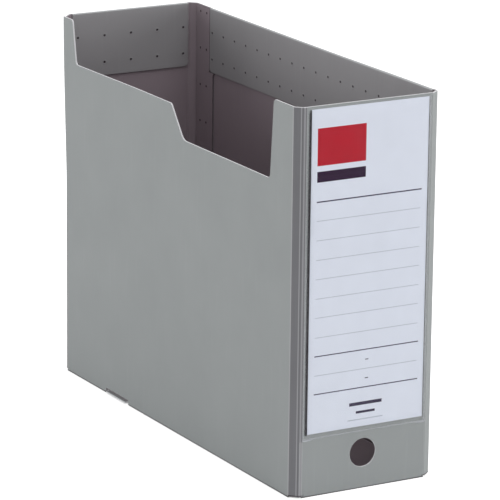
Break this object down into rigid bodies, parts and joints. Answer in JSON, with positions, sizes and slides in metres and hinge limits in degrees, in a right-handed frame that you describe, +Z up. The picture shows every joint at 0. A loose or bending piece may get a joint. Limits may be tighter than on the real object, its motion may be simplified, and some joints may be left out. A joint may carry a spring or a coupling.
{
  "type": "magazine file holder",
  "caption": "Open-topped landscape file box folded from plastic sheet, with a stepped cut-out side, a label pocket and a finger hole; it folds flat.",
  "frame": {"origin": "centre of the box's footprint, on the table plane", "axes": "+Z up, +Y from the label spine towards the rear wall, +X from the cut-out side towards the tall side"},
  "size_m": [0.1043, 0.3181, 0.255],
  "materials": {
    "grey_sheet": "fine-grained satin polypropylene sheet",
    "grey_crease": "pressed crease strip, a little darker and smoother",
    "weld_mark": "melted weld spot",
    "clear_film": "clear soft film",
    "label_paper": "smooth printed card"
  },
  "bodies": {
    "tall_side": {"right_side_panel": "grey_sheet", "right_side_top_hem": "grey_sheet", "right_hem_weld_spots": "weld_mark", "seam_flap": "grey_sheet", "seam_weld_spots": "weld_mark"},
    "front_right_corner": {"front_right_strip": "grey_crease"},
    "spine": {"spine_panel": "grey_sheet", "spine_foot_doubler": "grey_sheet", "label_pocket_film": "clear_film", "label_pocket_welds": "clear_film"},
    "label": {"label_card": "label_paper"},
    "front_left_corner": {"front_left_strip": "grey_crease"},
    "cut_out_side": {"left_side_panel": "grey_sheet"},
    "rear_right_corner": {"rear_right_strip": "grey_crease"},
    "rear_wall": {"rear_panel": "grey_sheet", "rear_top_hem": "grey_sheet", "rear_hem_weld_spots": "weld_mark"},
    "rear_left_corner": {"rear_left_strip": "grey_crease"},
    "bottom": {"bottom_panel": "grey_sheet", "bottom_lock_tongue": "grey_sheet"}
  },
  "joints": [
    {"name": "flat_fold", "type": "hinge", "parent": "tall_side", "child": "front_right_corner", "pos_m": [0.051, -0.15379, 0], "axis": [0, 0, 1], "range_deg": [0, 44]},
    {"name": "spine_right_crease", "type": "hinge", "parent": "front_right_corner", "child": "spine", "pos_m": [0.04679, -0.158, 0], "axis": [0, 0, 1], "range_deg": [0, 44]},
    {"name": "spine_left_crease", "type": "hinge", "parent": "spine", "child": "front_left_corner", "pos_m": [-0.04679, -0.158, 0], "axis": [0, 0, 1], "range_deg": [-44, 0]},
    {"name": "cut_out_side_front_crease", "type": "hinge", "parent": "front_left_corner", "child": "cut_out_side", "pos_m": [-0.051, -0.15379, 0], "axis": [0, 0, 1], "range_deg": [-44, 0]},
    {"name": "tall_side_rear_crease", "type": "hinge", "parent": "tall_side", "child": "rear_right_corner", "pos_m": [0.051, 0.15379, 0], "axis": [0, 0, 1], "range_deg": [0, 44]},
    {"name": "rear_wall_right_crease", "type": "hinge", "parent": "rear_right_corner", "child": "rear_wall", "pos_m": [0.04679, 0.158, 0], "axis": [0, 0, 1], "range_deg": [0, 44]},
    {"name": "rear_wall_left_crease", "type": "hinge", "parent": "rear_wall", "child": "rear_left_corner", "pos_m": [-0.04679, 0.158, 0], "axis": [0, 0, 1], "range_deg": [-44, 0]},
    {"name": "bottom_crease", "type": "hinge", "parent": "tall_side", "child": "bottom", "pos_m": [0.051, 0, 0.0005], "axis": [0, -1, 0], "range_deg": [0, 90]},
    {"name": "label_slide", "type": "slide", "parent": "spine", "child": "label", "axis": [0, 0, 1], "range_m": [0, 0.212]}
  ],
  "couplings": [
    {"joint": "spine_right_crease", "follows": "flat_fold", "ratio": 1},
    {"joint": "spine_left_crease", "follows": "flat_fold", "ratio": -1},
    {"joint": "cut_out_side_front_crease", "follows": "flat_fold", "ratio": -1},
    {"joint": "tall_side_rear_crease", "follows": "flat_fold", "ratio": 1},
    {"joint": "rear_wall_right_crease", "follows": "flat_fold", "ratio": 1},
    {"joint": "rear_wall_left_crease", "follows": "flat_fold", "ratio": -1},
    {"joint": "bottom_crease", "follows": "flat_fold", "ratio": 2.0454}
  ]
}
